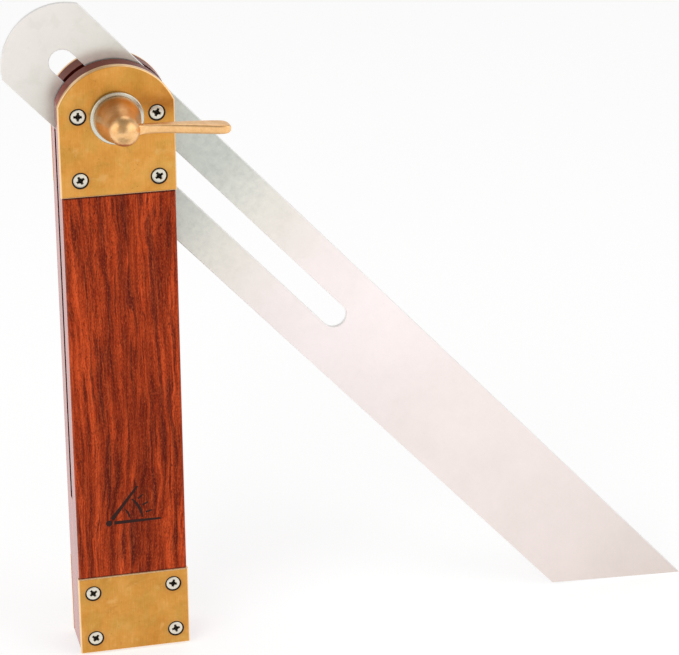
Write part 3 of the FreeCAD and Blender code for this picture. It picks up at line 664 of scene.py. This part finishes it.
def lever_piece(mat):
    """The lever as one casting: hub and arm are merged and relaxed so that the
    arm flows out of the ball as cast metal does."""
    bm = bmesh.new()
    prof = catmull([(r, -h) for r, h in HUB], 6)
    prof = prof + [(5.38, -0.12), (5.27, 0.0), (0.0, 0.0)]
    lathe(bm, prof, 96)
    arm = catmull(ARM, 5)
    rings = []
    n = 64
    for x, h, dz, dy, zc in arm:
        ring = []
        for i in range(n):
            a = 2 * math.pi * i / n
            c, s = math.cos(a), math.sin(a)
            k = 0.30
            ring.append(bm.verts.new((x, -h + dy / 2 * math.copysign(abs(c) ** k, c),
                                      zc + dz / 2 * math.copysign(abs(s) ** k, s))))
        rings.append(ring)
    for a, b in zip(rings, rings[1:]):
        for i in range(n):
            j = (i + 1) % n
            bm.faces.new((a[i], a[j], b[j], b[i]))
    bm.faces.new(rings[0][::-1])
    bm.faces.new(rings[-1])
    bmesh.ops.recalc_face_normals(bm, faces=bm.faces)
    me = bpy.data.meshes.new("lever_raw")
    bm.to_mesh(me)
    bm.free()
    raw = bpy.data.objects.new("lever_raw", me)
    SCENE.collection.objects.link(raw)
    md = raw.modifiers.new("merge", "REMESH")
    md.mode, md.voxel_size, md.adaptivity, md.use_smooth_shade = "VOXEL", 0.10, 0.0, True
    dg = bpy.context.evaluated_depsgraph_get()
    done = bpy.data.meshes.new_from_object(raw.evaluated_get(dg))
    bpy.data.objects.remove(raw)
    out = bmesh.new()
    out.from_mesh(done)
    joint = Vector((3.5, -9.3, 0.25))
    near = [v for v in out.verts if (v.co - joint).length < 2.1]
    core = [v for v in out.verts if (v.co - joint).length < 1.7]
    body = [v for v in out.verts if v.co.y < -0.3]
    for _ in range(8):
        bmesh.ops.smooth_vert(out, verts=core, factor=0.5, use_axis_x=True, use_axis_y=True, use_axis_z=True)
    for _ in range(6):
        bmesh.ops.smooth_vert(out, verts=near, factor=0.5, use_axis_x=True, use_axis_y=True, use_axis_z=True)
    for _ in range(5):
        bmesh.ops.smooth_vert(out, verts=body, factor=0.5, use_axis_x=True, use_axis_y=True, use_axis_z=True)
    out.transform(Matrix.Rotation(LEVER_DROP, 4, "Y"))
    out.transform(Matrix.Translation((0.0, WASHER_Y * 1000, PIVOT_Z * 1000)))
    out.transform(Matrix.Scale(MM, 4))
    ob = new_object("lever_casting", out, mat, "lever", None)
    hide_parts("lever")
    return ob


# ----------------------------------------------------------------- emblem
def emblem_piece(mat):
    """A plain angle mark burnt into the wood: two arms, an arc and ticks."""
    bm = bmesh.new()
    y0, y1 = WOOD_Y * 1000 - 0.015, WOOD_Y * 1000 + 0.06
    ox, oz = -5.4, PIVOT_Z * 1000 - 102.0

    def slab(pts):
        a = [bm.verts.new((x, y0, z)) for x, z in pts]
        b = [bm.verts.new((x, y1, z)) for x, z in pts]
        bm.faces.new(a)
        bm.faces.new(b[::-1])
        for i in range(len(pts)):
            j = (i + 1) % len(pts)
            bm.faces.new((a[i], b[i], b[j], a[j]))

    def polar(r, deg):
        t = math.radians(deg)
        return ox + r * math.cos(t), oz + r * math.sin(t)

    def bar(deg, r0, r1, w0, w1):
        t = math.radians(deg)
        nx, nz = -math.sin(t), math.cos(t)
        p, q = polar(r0, deg), polar(r1, deg)
        slab([(p[0] - nx * w0, p[1] - nz * w0), (q[0] - nx * w1, q[1] - nz * w1), (q[0] + nx * w1, q[1] + nz * w1), (p[0] + nx * w0, p[1] + nz * w0)])

    def arc(r, d0, d1, w0, w1, n=20):
        outer = [polar(r + (w0 + (w1 - w0) * math.sin(math.pi * i / n)), d0 + (d1 - d0) * i / n) for i in range(n + 1)]
        inner = [polar(r - (w0 + (w1 - w0) * math.sin(math.pi * i / n)), d0 + (d1 - d0) * i / n) for i in range(n + 1)]
        slab(outer + inner[::-1])

    arm_deg = 52.0
    bar(0.0, 1.25, 12.6, 0.46, 0.26)
    bar(arm_deg, 1.25, 11.6, 0.52, 0.26)
    arc(8.2, 5.5, arm_deg - 6.0, 0.14, 0.36)
    for d in (13.0, 26.0, 39.0):
        bar(d, 9.2, 10.8, 0.24, 0.18)
    arc(5.2, 10.0, arm_deg - 11.0, 0.10, 0.24, 14)
    slab([polar(0.80, 360.0 * i / 24) for i in range(24)])
    bm.transform(Matrix.Scale(MM, 4))
    return new_object("burnt_angle_mark", bm, mat, "stock", 30.0)


# ------------------------------------------------------------------ build
def centres_mm(node):
    return [(x, z - PIVOT_Z * 1000) for x, z in solid_centres(NODES[node])]


WOOD = wood_material()
BOLSTER = brass_plate_material("plate_brass_bolster", centres_mm("front_bolster_screws"), (1.0, 1.0, 1.0), 11.0)
ENDB = brass_plate_material("plate_brass_end", centres_mm("front_end_screws"), (0.885, 0.875, 0.845), 15.0)
LEVER = cast_brass_material()
BLADE = blade_material()
SCREW = plated_material("screw_nickel", (0.56, 0.53, 0.45), (0.70, 0.66, 0.57), 0.22, recess=True)
WASHER = plated_material("washer_plated", (0.50, 0.51, 0.44), (0.63, 0.62, 0.54), 0.20, turned=True)
BOLT = plated_material("bolt_steel", (0.50, 0.50, 0.49), (0.66, 0.66, 0.64), 0.30, turned=True)
BURNT = burnt_material()

dress(NODES["handle"], WOOD)
for n in ("front_bolster_plate", "rear_bolster_plate"):
    dress(NODES[n], BOLSTER)
for n in ("front_end_plate", "rear_end_plate"):
    dress(NODES[n], ENDB)
dress(NODES["blade"], BLADE)
dress(NODES["pivot_bolt"], BOLT)
dress(NODES["bolt_washer"], WASHER)
dress(NODES["lever_washer"], WASHER)
dress(NODES["lever"], LEVER)

MASTER = screw_master()
screw_set("front_bolster_screw_set", "front_bolster_screws", -1, (4.0, 22.0, -28.0, 58.0), SCREW)
screw_set("rear_bolster_screw_set", "rear_bolster_screws", 1, (11.0, -38.0, 27.0, 50.0), SCREW)
screw_set("front_end_screw_set", "front_end_screws", -1, (-33.0, 12.0, 38.0, -12.0), SCREW)
screw_set("rear_end_screw_set", "rear_end_screws", 1, (-7.0, 33.0, 70.0, 21.0), SCREW)
lever_piece(LEVER)
emblem_piece(BURNT)


# ------------------------------------------------------------------ stage
FLOOR_GLOW = 0.60
GLOSSY_EXTRA = 0.20
CARD_DEPTH = 0.58
WORLD_DIFFUSE = 0.60


def stage():
    lo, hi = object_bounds()
    floor_z = lo.z - 0.00002
    bm = bmesh.new()
    s = 4.0
    vs = [bm.verts.new(c) for c in ((-s, -s, floor_z), (s, -s, floor_z), (s, s, floor_z), (-s, s, floor_z))]
    bm.faces.new(vs)
    w = Mat("pale_floor")
    n1 = w.noise(w.vmath("SCALE", w.tc.outputs["Object"], scale=3.0), 1.0, 2.0, 0.5, 0.0, 61.0)
    dif = w.t.nodes.new("ShaderNodeBsdfDiffuse")
    w.put(dif.inputs["Color"], w.mix(n1, (0.53, 0.53, 0.53), (0.55, 0.55, 0.55)))
    emi = w.t.nodes.new("ShaderNodeEmission")
    emi.inputs["Color"].default_value = (1.0, 1.0, 1.0, 1.0)
    emi.inputs["Strength"].default_value = FLOOR_GLOW
    add = w.t.nodes.new("ShaderNodeAddShader")
    w.t.links.new(dif.outputs[0], add.inputs[0])
    w.t.links.new(emi.outputs[0], add.inputs[1])
    # polished parts see the sheet a little brighter than the camera does
    lp = w.t.nodes.new("ShaderNodeLightPath")
    # and a grey card lies just in front of the tool, seen only in reflections
    off = w.vmath("SUBTRACT", w.tc.outputs["Object"], (-0.050, -0.140, floor_z))
    far = w.vmath("LENGTH", w.vmath("MULTIPLY", off, (0.95, 1.05, 0.0)))
    card = w.remap(far, 0.090, 0.165, CARD_DEPTH, 0.0, True)
    card = w.math("MULTIPLY", card, w.remap(lp.outputs["Ray Length"], 0.07, 0.12, 0.0, 1.0, True))
    glow = w.math("ADD", FLOOR_GLOW, w.math("MULTIPLY", lp.outputs["Is Glossy Ray"], w.math("SUBTRACT", GLOSSY_EXTRA, card)))
    w.put(emi.inputs["Strength"], glow)
    w.t.links.new(add.outputs[0], w.out.inputs[0])
    me = bpy.data.meshes.new("floor")
    bm.to_mesh(me)
    bm.free()
    ob = bpy.data.objects.new("floor", me)
    SCENE.collection.objects.link(ob)
    me.materials.append(w.m)
    ob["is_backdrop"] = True


def area(name, loc, target, sx, sy, power, color=(1, 1, 1), glossy=False):
    l = bpy.data.lights.new(name, "AREA")
    l.shape, l.size, l.size_y, l.energy, l.color = "RECTANGLE", sx, sy, power, color
    o = bpy.data.objects.new(name, l)
    SCENE.collection.objects.link(o)
    o.location = loc
    d = Vector(target) - Vector(loc)
    o.rotation_euler = d.to_track_quat("-Z", "Y").to_euler()
    o.visible_glossy = glossy
    return o


def world():
    """Even white light for dull surfaces. Polished ones see a studio: bright low
    down, dim overhead, a soft box each side and a darker patch at the camera."""
    wd = bpy.data.worlds.new("studio")
    SCENE.world = wd
    wd.use_nodes = True
    t = wd.node_tree
    t.nodes.clear()
    w = Mat.__new__(Mat)
    w.t = t
    out = t.nodes.new("ShaderNodeOutputWorld")
    bg = t.nodes.new("ShaderNodeBackground")
    t.links.new(bg.outputs[0], out.inputs[0])
    tc = t.nodes.new("ShaderNodeTexCoord")
    d = w.vmath("NORMALIZE", tc.outputs["Generated"])
    up = w.sep(d)[2]
    env = w.ramp(up, [(0.00, (0.95, 0.95, 0.95)), (0.38, (0.86, 0.86, 0.86)), (0.60, (0.46, 0.45, 0.44)), (0.92, (0.40, 0.39, 0.38))])
    dx, dy, dz = w.sep(d)
    az = w.math("MULTIPLY", w.math("ARCTAN2", dx, w.math("MULTIPLY", dy, -1.0)), 180.0 / math.pi)
    el = w.math("MULTIPLY", w.math("ARCSINE", dz), 180.0 / math.pi)

    def soft_box(az0, el0, half_az, half_el, soft, value):
        nonlocal env
        a_ = w.remap(w.math("ABSOLUTE", w.math("SUBTRACT", az, az0)), half_az + soft, half_az, 0.0, 1.0, True)
        e_ = w.remap(w.math("ABSOLUTE", w.math("SUBTRACT", el, el0)), half_el + soft, half_el, 0.0, 1.0, True)
        env = w.mix(w.math("MULTIPLY", a_, e_), env, value)

    def lobe(direction, inner, outer):
        v = Vector(direction).normalized()
        dot = w.vmath("DOT_PRODUCT", d, tuple(v))
        return w.remap(dot, math.cos(math.radians(outer)), math.cos(math.radians(inner)), 0.0, 1.0, True)
    soft_box(-36.0, 34.0, 14.0, 28.0, 16.0, (0.62, 0.61, 0.60))          # the dark gap at the camera
    env = w.mix(w.math("MULTIPLY", lobe((-0.219, -0.902, 0.372), 8.0, 24.0), 0.60), env, (0.45, 0.44, 0.43))
    soft_box(-97.0, 19.0, 20.0, 23.0, 16.0, (1.62, 1.58, 1.54))
    soft_box(60.0, 33.0, 32.0, 19.0, 16.0, (1.66, 1.63, 1.60))
    env = w.mix(lobe((0.22, 0.66, 0.72), 8.0, 20.0), env, (1.7, 1.67, 1.64))   # white wall behind, high up
    lp = t.nodes.new("ShaderNodeLightPath")
    col = w.mix(lp.outputs["Is Glossy Ray"], (WORLD_DIFFUSE,) * 3, env)
    col = w.mix(lp.outputs["Is Camera Ray"], col, (0.97, 0.97, 0.97))
    t.links.new(col, bg.inputs["Color"])
    bg.inputs["Strength"].default_value = 1.0


def camera():
    """Perspective camera at the viewing angle of the reference view."""
    k = 1.0062 * MM
    fwd = Vector((0.219236, 0.902304, -0.371192)).normalized()
    right = fwd.cross(Vector((0, 0, 1))).normalized()
    up = right.cross(fwd)
    roll = math.radians(-0.302)
    r2 = math.cos(roll) * right + math.sin(roll) * up
    u2 = -math.sin(roll) * right + math.cos(roll) * up
    cam = bpy.data.cameras.new("camera")
    cam.sensor_fit, cam.sensor_width, cam.lens = "HORIZONTAL", 36.0, 2739.992 * 36.0 / 679.0
    cam.clip_start, cam.clip_end = 0.01, 50.0
    ob = bpy.data.objects.new("camera", cam)
    SCENE.collection.objects.link(ob)
    m = Matrix((r2, u2, -fwd)).transposed().to_4x4()
    m.translation = Vector((-91.443, -596.457, 185.947)) * k + Vector((0, 0, PIVOT_Z))
    ob.matrix_world = m
    SCENE.camera = ob


stage()
world()
area("key_left", (-0.60, -0.70, 0.55), (0.03, 0, 0.08), 0.7, 0.7, 3.2)
area("key_right", (0.75, -0.65, 0.45), (0.05, 0, 0.08), 0.6, 0.6, 2.0)
camera()

SCENE.view_settings.view_transform = "Standard"
SCENE.view_settings.look = "None"
SCENE.view_settings.exposure = 0.0
